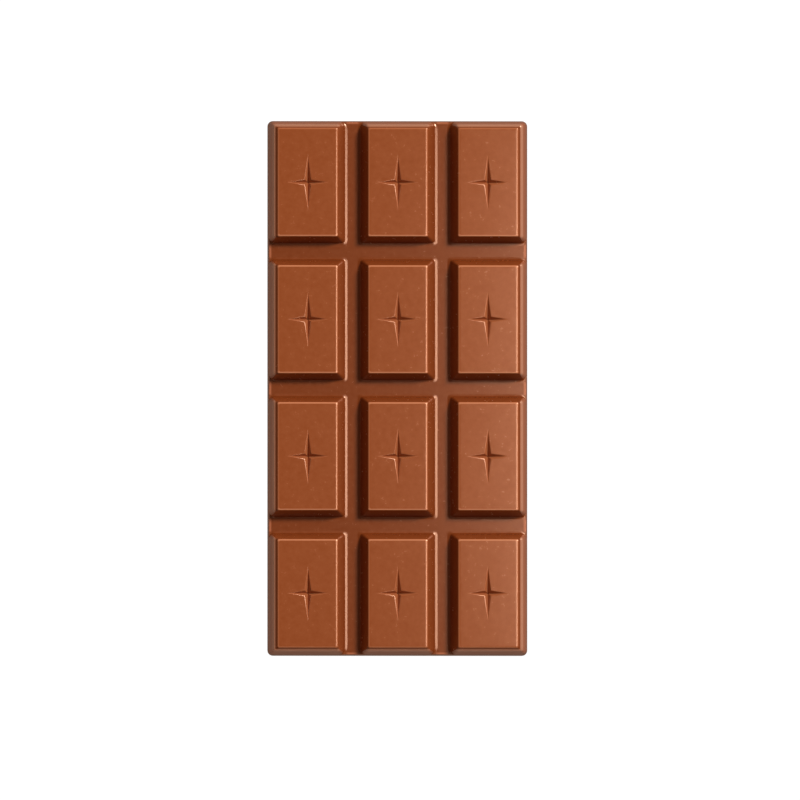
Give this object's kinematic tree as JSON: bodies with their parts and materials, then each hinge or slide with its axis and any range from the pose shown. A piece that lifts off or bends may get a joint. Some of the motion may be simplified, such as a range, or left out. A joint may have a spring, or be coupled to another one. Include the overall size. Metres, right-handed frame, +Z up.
{
  "type": "chocolate bar",
  "caption": "Moulded milk chocolate tablet: bevelled blocks in straight rows, parted by grooves for breaking, each flat top pressed with a plain four-pointed star.",
  "frame": {"origin": "middle of the flat underside, which the bar rests on", "axes": "+Z up through the block tops, +Y along the bar's length, +X across its width"},
  "size_m": [0.0778, 0.16, 0.008],
  "materials": {
    "milk_chocolate": "satin milk chocolate as it leaves a smooth mould, faintly mottled"
  },
  "bodies": {
    "root": {"chocolate_bar": "milk_chocolate"}
  },
  "joints": []
}
